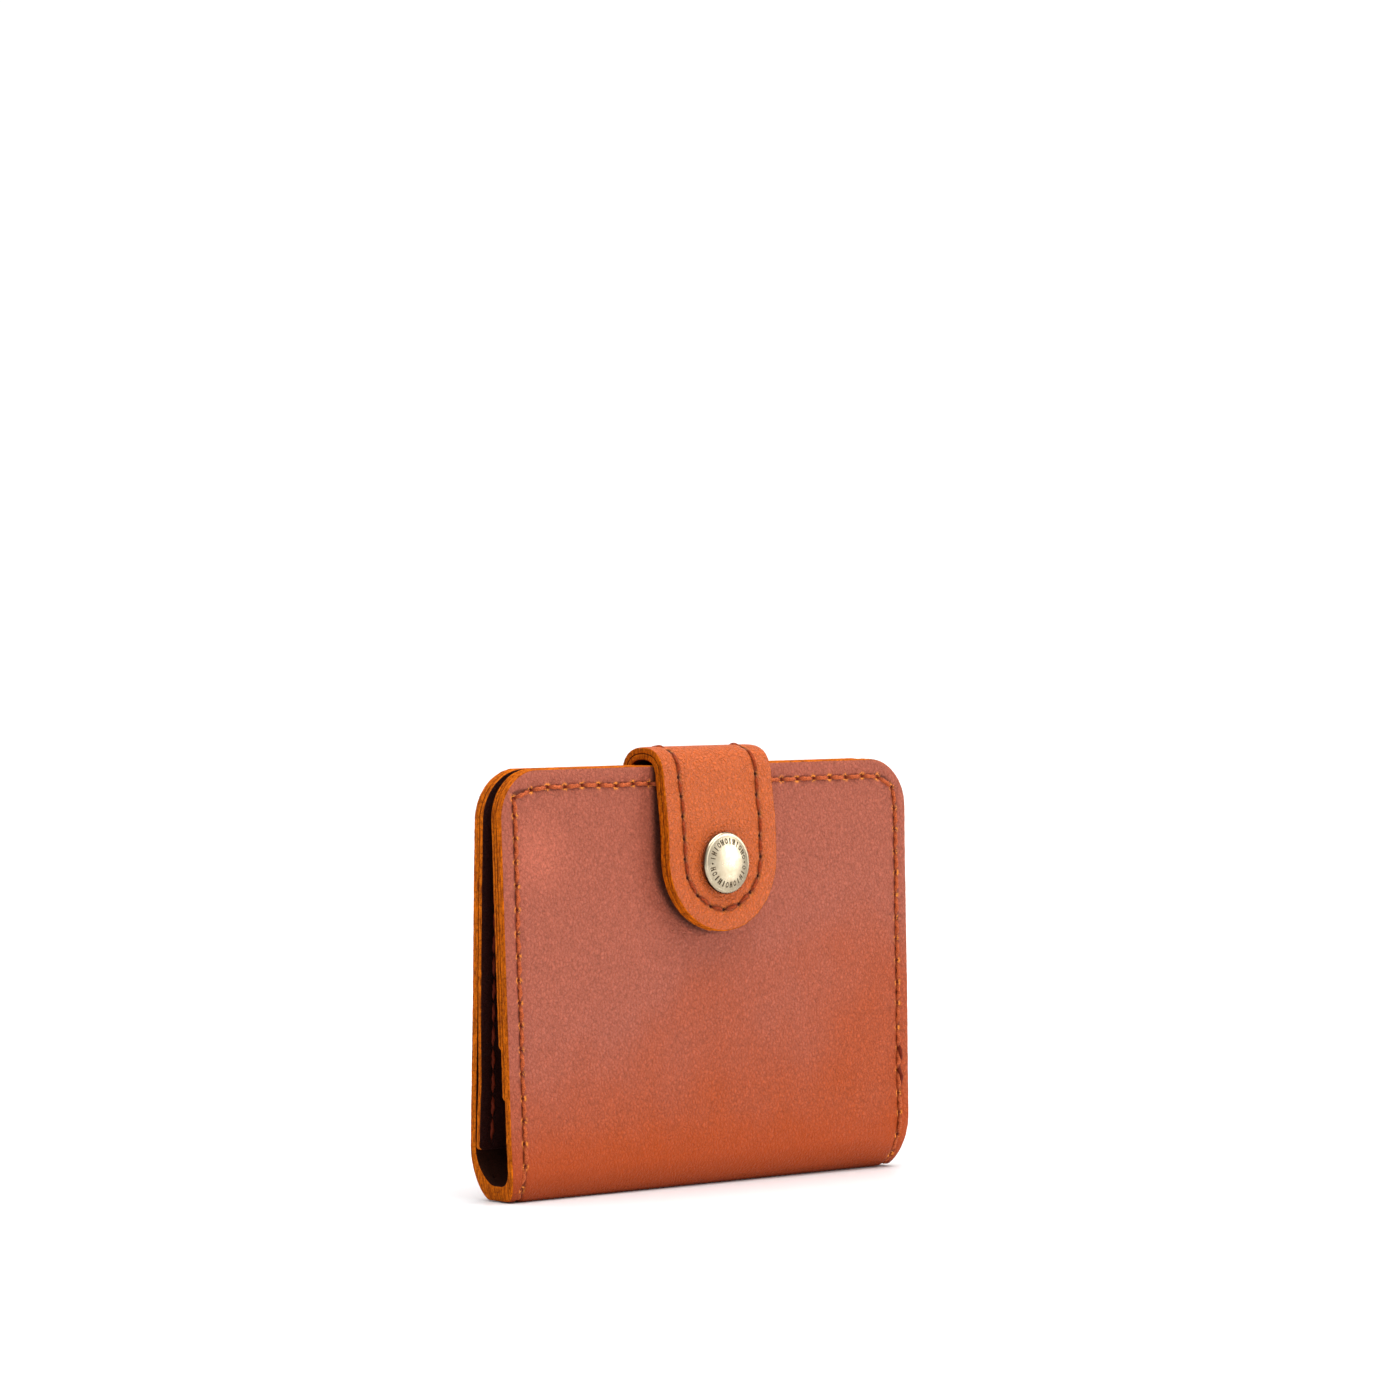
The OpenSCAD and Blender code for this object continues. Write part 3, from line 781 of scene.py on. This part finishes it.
def thread_finish(name, light, deep):
    """Waxed thread: two twisted plies, with painted shade where it dives into the leather."""
    n = material_nodes(name)
    fibres = n.noise(n.rest((4, 4, 4)), 1.2, 3, 0.7)
    colour = n.mix(n.ramp(fibres, 0.35, 0.7), light, deep)
    # painted shade where the thread dives into the leather
    colour = n.mix(n.ramp(n.number("end"), 0.08, 0.5), colour, deep)
    n.plug("Base Color", colour)
    n.plug("Roughness", 0.7)
    n.plug("Specular IOR Level", 0.15)
    n.plug("Normal", n.bump(n.noise(n.rest(), 5, 2), 0.05, 0.6))
    return n.owner


def aged_metal(name, bright, patina, rough, cad_shape=False):
    """Rubbed metal with soft cloudy wear and, unless it keeps its CAD shape, tarnished hollows and
    painted shade.
    """
    n = material_nodes(name)
    if cad_shape:
        at = n.times(n.add("ShaderNodeTexCoord").outputs["Object"], (1 / MM,) * 3)
    else:
        at = n.rest()
        tarnish_shade = n.number("tarnish_shade")
    cloud = n.noise(at, 0.5, 4, 0.6)
    scratch = n.noise(n.times(at, (9, 9, 1.5)), 1.0, 3, 0.6)
    colour = n.mix(n.ramp(cloud, 0.4, 0.75, 0, 0.45), bright, patina)
    if not cad_shape:
        colour = n.mix(tarnish_shade, colour, TARNISH_AND_SHADE)
    n.plug("Base Color", colour)
    n.plug("Metallic", 1.0)
    n.plug("Roughness", n.ramp(cloud, 0.3, 0.8, rough, rough + 0.16))
    n.plug("Normal", n.bump(scratch, 0.02, 0.35))
    return n.owner


def studio_floor(name):
    """Smooth white paper that mirrors the object faintly."""
    n = material_nodes(name)
    place = n.add("ShaderNodeTexCoord").outputs["Object"]
    n.plug("Base Color", n.mix(n.noise(place, 40, 2), rgb(250, 250, 250), rgb(246, 246, 247)))
    n.plug("Roughness", 0.28)
    n.plug("Specular IOR Level", 0.35)
    return n.owner


RAW_FIBRE = rgb(240, 140, 54)
# a warmer tint with painted shade, mixed in low on the fold
FOLD_TINT_AND_SHADE = rgb(174, 67, 11)
# painted shade in the needle holes
HOLE_SHADE = rgb(52, 14, 4)
TARNISH_AND_SHADE = rgb(58, 44, 26)    # in the cap's engraving, and as painted shade towards its rim and low on its right
SHEEN_SPOT = (-46, -4.2, 68)  # painted sheen: where the front's upper left corner is painted paler
# the cover's grain: a pinker higher colour as painted sheen, painted shade at the fold and a painted
# shadow along the strap's edge
COVER_FACE = grain_leather("cover_grain", rgb(163, 87, 67), rgb(168, 72, 30), torn=1.0,
                           fold_shade_level=0.66, strap_shadow_level=0.28)
# painted shade: the pockets' faces inside the wallet are near black for the shade there
POCKET_FACE_SHADED = grain_leather("pocket_grain_shaded", rgb(46, 14, 9), rgb(40, 12, 8), 0.6)
STRAP_FACE = grain_leather("strap_grain", rgb(207, 96, 35), rgb(212, 101, 46), rough=0.42,
                           torn=0.35, grain=0.6, groove_shade_level=0.36, speckle=0.1, shine=0.28)
CUT_EDGE = cut_leather("cut_edge")
# a dark inner leather, darkened further as painted shade for the inside of the wallet
FLESH_SHADED = flesh_leather("cover_flesh_shaded", rgb(50, 19, 8), rgb(28, 10, 4))
# darkened as painted shade for the hollow under the strap's arch
LINING_FLESH_SHADED = flesh_leather("lining_flesh_shaded", rgb(96, 46, 14), rgb(58, 26, 8))
COVER_THREAD = thread_finish("cover_thread", rgb(214, 106, 58), rgb(104, 32, 10))
STRAP_THREAD = thread_finish("strap_thread", rgb(182, 74, 30), rgb(64, 20, 8))
BRASS = aged_metal("cap_brass", rgb(198, 184, 158), rgb(134, 112, 80), 0.24)
HIDDEN_BRASS = aged_metal("ring_brass", rgb(206, 180, 138), rgb(150, 122, 82), 0.3, True)
STEEL = aged_metal("spring_steel", rgb(186, 186, 184), rgb(120, 118, 114), 0.25, True)


# ---- The cover, its seam and its pockets ----
def cover_seam(side):
    """Holes and line of the seam up the left side, along the top and down the right side."""
    left = -HALF_W + SEAM_INSET
    right = HALF_W - (RIGHT_INSET if side < 0 else SEAM_INSET)
    top, start = COVER_LENGTH - SEAM_INSET, 1.6

    def pinched(points):
        near = np.clip(1 - points[:, 1] / PINCH_REACH, 0, 1) ** 1.6
        dip = np.exp(-(points[:, 0] - left) / 5) * (points[:, 1] > top - 1.5)
        return points + np.column_stack([np.sign(points[:, 0]) * FOLD_PINCH * near, -CORNER_DIP * dip])

    up = np.array([(left, start), (left, top - CORNER_DIP * 0.6)])
    over = rounded_path([(left, top), (right, top), (right, start)], 6)
    holes = np.vstack([walk(up, PITCH), walk(over, PITCH)[1:]])
    line = np.vstack([walk(up, 0.3), over])
    return hand_sewn(pinched(holes), 7 + side), pinched(line)


def fold_spacing(v):
    """Spacing of the cover's inner points along x and v, closer where the fold bends."""
    return (1.5, 0.75) if v < 18 else (2.1, 2.1)


def panel_spacing(_):
    return 2.6, 2.6


def lowered(side):
    """Lays (x, v, depth) on the inner face of a wall and its panels, depth back from that face."""
    place = cover_place(side)
    panels = [(thickness, mouth) for _, wall_side, _, thickness, mouth in POCKETS
              if wall_side == side]

    def inner(x, v, depth):
        z = cover_z(v)
        stack = COVER_T + sum(thickness * (z > mouth) for thickness, mouth in panels)
        if np.max(stack) == COVER_T:
            return place(x, v, stack - depth)
        return warp(x, side * (wall(z) - stack + depth), z, side)
    return inner


def facing_out(piece, side):
    """A sheet laid on from the rear shows the other side of its plan, so its normals turn."""
    if side > 0:
        piece.data.flip_normals()


def bend_with_fold(piece, side):
    """Bakes the piece's transform into its mesh; the bend's start, beside the foot's middle, and its
    end, below the pockets' mouths, are worked out but not used.
    """
    start, end = [(0, side * y * MM, z * MM) for y, z in FOLD_BEND]
    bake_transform(piece)
    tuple(start)
    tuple(end)


def cover_half(side):
    """One half of the cover, from the middle of the foot to the top edge; returns its holes."""
    word = WALLS[side]
    holes, seam = cover_seam(side)
    shape = outline(HALF_W, 0, COVER_LENGTH, 0, CORNER_R, cut="low")
    cover = sheet_of_leather(f"cover_{word}_leather", shape, cover_place(side), COVER_T,
                             [COVER_FACE, CUT_EDGE, FLESH_SHADED], holes, seam, fold_spacing, seed=side)
    facing_out(cover, side)
    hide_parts("cover_spine", f"cover_{word}")
    bend_with_fold(cover, side)
    return holes


def cover_thread(side, holes):
    """The seam's thread on the outer and the inner face; the front's also crosses the foot."""
    outer, inner = cover_place(side), lowered(side)
    runs = []
    for a, b in pairs_of(holes):
        low = min(a[1], b[1])
        under_strap = side > 0 and abs(a[0] + b[0]) / 2 < STRAP_HALF - 1
        if not under_strap:
            runs.append((outer, [(a, b)], SEAM_PROUD if low > FOOT_REACH else FOOT_PROUD, 0))
        if low > INNER_START:
            runs.append((inner, [(a, b)], INNER_PROUD, 0.75))
    if side < 0:
        for x, v in (holes[0], holes[-1]):
            runs.append((foot_place, [((x, -v), (x, v))], FOOT_PROUD, 0.3))
        runs.append((outer, backstitch(holes), BACKSTITCH_PROUD, 0.6))
    thread = stitches(f"thread_{WALLS[side]}_seam", runs, COVER_THREAD)
    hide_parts("thread_spine", f"thread_{WALLS[side]}")
    bend_with_fold(thread, side)


def backstitch(holes):
    """The few stitches sewn over again where the seam is made fast, low on the right."""
    return [(a + BACKSTITCH_STEP, b + BACKSTITCH_STEP) for a, b in pairs_of(holes)
            if a[0] > 0 and BACKSTITCH_V[0] < (a[1] + b[1]) / 2 < BACKSTITCH_V[1]]


def foot_place(x, v, depth):
    """The flat foot, with v counted from the rear towards the front."""
    return warp(x, -v, depth, -1)


def pocket(word, side, start, thickness, mouth, holes):
    """A thin panel sewn inside one wall, open at its lower edge."""
    z_holes = np.column_stack([holes[:, 0], cover_z(holes[:, 1])])
    kept = z_holes[z_holes[:, 1] > mouth + 1.5]
    line = np.vstack([np.linspace(a, b, 12) for a, b in pairs_of(kept)])
    shape = outline(HALF_W, mouth, HEIGHT, PANEL_CORNER_R, CORNER_R)
    place = panel_place(side, start, END_FLARE if side > 0 else 0)
    panel = sheet_of_leather(f"pocket_{word}_leather", shape, place, thickness,
                             [FLESH_SHADED, CUT_EDGE, POCKET_FACE_SHADED], kept, line, panel_spacing,
                             shade_low_edge=True, seed=start)
    facing_out(panel, side)
    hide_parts(f"pocket_{word}")
    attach(panel, WALLS[side])


# ---- The strap ----
def strap_seams():
    """Holes of the front part and of the rear part, and the rear part's low cross row."""
    inset = STRAP_HALF - STRAP_INSET
    drop = STRAP_TIP - STRAP_TOP
    count = round(drop / PITCH - 0.5)
    step = drop / (count + 0.5)
    side_v = STRAP_TOP + (np.arange(count) + 0.5) * step
    angles = np.linspace(math.pi, 0, round(math.pi * inset / step) + 1)
    tip = [(inset * math.cos(a), STRAP_TIP + inset * math.sin(a)) for a in angles]
    front = [(-inset, v) for v in side_v] + tip + [(inset, v) for v in side_v[::-1]]
    low, high = STRAP_INSET, STRAP_TOP - step / 2
    rear_v = np.linspace(high, low, round((high - low) / step) + 1)
    across = np.linspace(-inset, inset, 6)[1:-1]
    rear = ([(-inset, v) for v in rear_v] + [(x, low) for x in across]
            + [(inset, v) for v in rear_v[::-1]])
    return hand_sewn(np.array(front), 21), hand_sewn(np.array(rear), 22)


def strap_spacing(v):
    """Spacing of the strap's inner points, closer where it goes over the top edges."""
    return (1.2, 0.55) if BEND_V[0] < v < BEND_V[1] else (1.3, 1.2)


def strap_ply(word, face, materials, seams, dimples=()):
    """One ply of the strap in two lengths that meet over the top."""
    front_holes, rear_holes = seams
    tip_r = STRAP_HALF - 0.01
    parts = [
        ("rear", outline(STRAP_HALF, 0, STRAP_TOP, BASE_CORNER_R, 0, cut="high"), rear_holes,
         (), ("base", "bend"), ("rear", "strap_bridge")),
        ("front", outline(STRAP_HALF, STRAP_TOP, STRAP_TIP + STRAP_HALF, 0, tip_r, cut="low"),
         front_holes, dimples, ("bend", "flap"), ("strap_bridge", "strap_flap")),
    ]
    for part, shape, holes, hollows, nodes, bodies in parts:
        ply = sheet_of_leather(f"strap_{word}_{part}", shape, strap_place(face), STRAP_PLY_T,
                               materials, holes, walk(holes, 0.4), strap_spacing, hollows,
                               seed=face)
        facing_out(ply, 1)
        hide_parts(*[f"strap_{word}_{node}" for node in nodes])
        bend_with_strap(ply, *bodies)


def bend_with_strap(piece, a, b):
    """Bakes the piece's transform into its mesh; the ends of each half's bend, at the top edges'
    height and in the middle of the arch, are worked out but not used.
    """
    side = 1 if a == "rear" else -1
    low, high = [(0, (side * y - STRAP_GAP_TOP / 2) * MM, z * MM) for y, z in STRAP_BEND]
    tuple(low if side > 0 else high)
    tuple(high if side > 0 else low)
    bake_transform(piece)


def strap_thread(seams):
    """The strap's thread on both faces; inside, the rear's starts above the sewn-down end."""
    front_holes, rear_holes = seams
    outer, inner = strap_place(STRAP_T), strap_place(0)

    def under(x, v, depth):
        return inner(x, v, -depth)
    bridge = [(rear_holes[0], front_holes[0]), (front_holes[-1], rear_holes[-1])]
    front = pairs_of(front_holes) + bridge
    rear = pairs_of(rear_holes)
    rear_inner = [pair for pair in rear if min(pair[0][1], pair[1][1]) > HEIGHT - ANCHOR_Z - 1]
    for word, outside, inside_pairs, bodies, node in (
            ("front", front, front, ("strap_bridge", "strap_flap"), "thread_strap_flap"),
            ("rear", rear, rear_inner, ("rear", "strap_bridge"), "thread_strap_base")):
        runs = [(outer, outside, STRAP_PROUD, 0), (under, inside_pairs, 0.0, 0.5)]
        thread = stitches(f"thread_strap_{word}_seam", runs, STRAP_THREAD, STRAP_THREAD_R)
        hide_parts("thread_strap_bend", node)
        bend_with_strap(thread, *bodies)


# ---- The snap ----
ENGRAVING = 0.12  # depth of the marks on the cap


def snap_matrix():
    """The snap's own frame, +Z out of the front from the cover's face."""
    tilt = math.atan(WALL_SLOPE)
    return (Matrix.Translation((0, -wall(SNAP_Z), SNAP_Z))
            @ Matrix.Rotation(math.pi / 2 - tilt, 4, "X"))


def cap():
    """Domed brass cap with a rolled rim and a ring of small engraved marks round a plain middle."""
    face = STRAP_GAP + STRAP_T
    crown, fall, sunk = 1.8, 0.7, 0.6
    rim_mid, rim_r = face + 0.55, 0.5
    rim_top = CAP_R - 0.65
    segments = 480

    def dome(r):
        return face + crown - fall * (r / rim_top) ** 2.3

    under = [(1e-3, face - sunk), (CAP_R - 0.75, face - sunk), (CAP_R - 0.6, face - 0.05)]
    rim = [(CAP_R - rim_r + rim_r * math.cos(a), rim_mid + (rim_r + 0.1) * math.sin(a))
           for a in np.radians(np.arange(-80, 81, 10))]
    radii = np.concatenate([np.arange(rim_top, 5.1, -0.1), np.arange(5.1, 3.7, -0.06),
                            np.arange(3.7, 0.2, -0.25), [0.1, 1e-3]])
    profile = under + rim + [(r, dome(r)) for r in radii]

    def patina(r, h, a):
        """Tarnish in the engraving; painted shade towards the rim, low on the right and on the rolled
        rim.
        """
        # painted shade towards the rim and low on the right, and on the rolled rim
        dome_shade = 0.85 * (r / CAP_R) ** 1.9 * (0.5 + 0.42 * math.cos(a + math.pi / 4))
        rolled = 0.6 if rim_mid - 0.3 < h < rim_mid + 0.35 and r > rim_top + 0.2 else 0
        return max(engraved(r, a), dome_shade + rolled)

    tarnish_shade = np.array([patina(r, h, 2 * math.pi * k / segments)
                       for k in range(segments) for r, h in profile])
    piece = lathe("snap_cap_brass", profile, segments, snap_matrix(), BRASS, {"tarnish_shade": tarnish_shade},
                  lambda r, a: -ENGRAVING * engraved(r, a))
    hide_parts("snap_cap")
    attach(piece, "strap_flap")


def engraved(r, a):
    """1 in the middle of an engraved line of the cap's ring of dots, bars, rings and forks."""
    ring_r, size, line, count = 4.42, 0.5, 0.16, 26
    turn = 2 * math.pi / count
    index = round(a / turn)
    x, y = (a - index * turn) * ring_r, r - ring_r
    kind = "dot" if index % 13 == 0 else ("bar", "ring", "fork", "ring", "bar", "fork")[index % 6]
    if kind == "dot":
        off = max(0, math.hypot(x, y) - 0.1)
    elif kind == "bar":
        off = math.hypot(x, max(0, abs(y) - size))
    elif kind == "ring":
        off = abs(math.hypot(x * 1.5, y) - size + 0.05)
    else:
        off = min(math.hypot(abs(x) - 0.22, max(0, abs(y) - size)),
                  math.hypot(max(0, abs(x) - 0.22), y))
    return max(0, 1 - (off / line) ** 3)


def metal_nodes():
    """The snap's hidden pieces keep their CAD shapes."""
    finishes = {"snap_socket": HIDDEN_BRASS, "snap_stud": HIDDEN_BRASS, "snap_post": HIDDEN_BRASS,
                "snap_spring": STEEL}
    for name, material in finishes.items():
        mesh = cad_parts[name].data
        mesh.materials.clear()
        mesh.materials.append(material)


# ---- The studio ----
def camera():
    """Nearly level camera a little above the floor, left of the front."""
    azimuth, distance, height = math.radians(-43.48), 1.2469, 0.1271
    yaw, pitch = math.radians(-0.041), math.radians(-1.343)
    heading = azimuth + yaw
    forward = Vector((-math.sin(heading) * math.cos(pitch), math.cos(heading) * math.cos(pitch),
                      math.sin(pitch)))
    right = forward.cross(Vector((0, 0, 1))).normalized()
    up = right.cross(forward)
    data = bpy.data.cameras.new("camera")
    data.lens, data.sensor_width = 158.5, 36
    item = in_scene("camera", data)
    item.matrix_world = Matrix((right, up, -forward)).transposed().to_4x4()
    item.location = (math.sin(azimuth) * distance, -math.cos(azimuth) * distance, height)
    bpy.context.scene.camera = item


def soft_light(name, place, aim, size, power):
    """A square lamp at place that shines at aim, in metres."""
    data = bpy.data.lights.new(name, "AREA")
    data.shape = "SQUARE"
    data.size = size
    data.energy = power
    item = in_scene(name, data)
    item.location = place
    item.rotation_euler = (Vector(aim) - Vector(place)).to_track_quat("-Z", "Y").to_euler()


def sky():
    """White to the eye; as a light it is stronger from above and from the right of the front."""
    world = bpy.data.worlds.new("studio")
    bpy.context.scene.world = world
    n = Nodes(world)
    white, brightest = (1, 1, 1, 1), Vector((0.62, -0.5, 0.6)).normalized()
    seen = n.tree.nodes["Background"]
    n.feed(seen.inputs["Color"], white)
    n.feed(seen.inputs["Strength"], 1.05)
    way = n.add("ShaderNodeTexCoord").outputs["Generated"]
    facing = n.add("ShaderNodeVectorMath", {0: way, 1: brightest}, operation="DOT_PRODUCT")
    strength = n.ramp(facing.outputs["Value"], -0.6, 0.9, 0.05, 0.8)
    lighting = n.add("ShaderNodeBackground", {"Color": white, "Strength": strength})
    to_eye = n.add("ShaderNodeLightPath").outputs["Is Camera Ray"]
    choose = n.add("ShaderNodeMixShader", {0: to_eye, 1: lighting.outputs[0], 2: seen.outputs[0]})
    n.feed(n.tree.nodes["World Output"].inputs["Surface"], choose.outputs[0])


def sun(power, spread, toward):
    """A very soft light from overhead; spread is its angle in degrees."""
    data = bpy.data.lights.new("overhead", "SUN")
    data.energy, data.angle = power, math.radians(spread)
    item = in_scene("overhead", data)
    item.rotation_euler = Vector(toward).to_track_quat("-Z", "Y").to_euler()


def floor():
    """A wide floor just under the foot."""
    half, drop = 12, 0.00005
    mesh = bpy.data.meshes.new("floor")
    mesh.from_pydata([(-half, -half, 0), (half, -half, 0), (half, half, 0), (-half, half, 0)], [],
                     [(0, 1, 2, 3)])
    mesh.materials.append(studio_floor("floor"))
    item = in_scene("floor", mesh)
    item.location.z = -drop


def studio():
    """A white room, lit from above and from the right of the front."""
    bpy.context.scene.view_settings.view_transform = "Standard"
    sky()
    sun(power=4.2, spread=60, toward=(0, 0.06, -1))
    soft_light("right_front", place=(0.95, -0.85, 0.3), aim=(0, 0, 0.05), size=0.4, power=3.8)
    floor()


# ---- The whole ----
camera()
cover_holes = {side: cover_half(side) for side in WALLS}
for side in WALLS:
    cover_thread(side, cover_holes[side])
for word, side, start, thickness, mouth in POCKETS:
    pocket(word, side, start, thickness, mouth, cover_holes[side])
seams = strap_seams()
strap_ply("outer", STRAP_T, [STRAP_FACE, CUT_EDGE, FLESH_SHADED], seams, [CAP_DIMPLE])
strap_ply("lining", STRAP_PLY_T, [FLESH_SHADED, CUT_EDGE, LINING_FLESH_SHADED], seams)
strap_thread(seams)
cap()
metal_nodes()
studio()
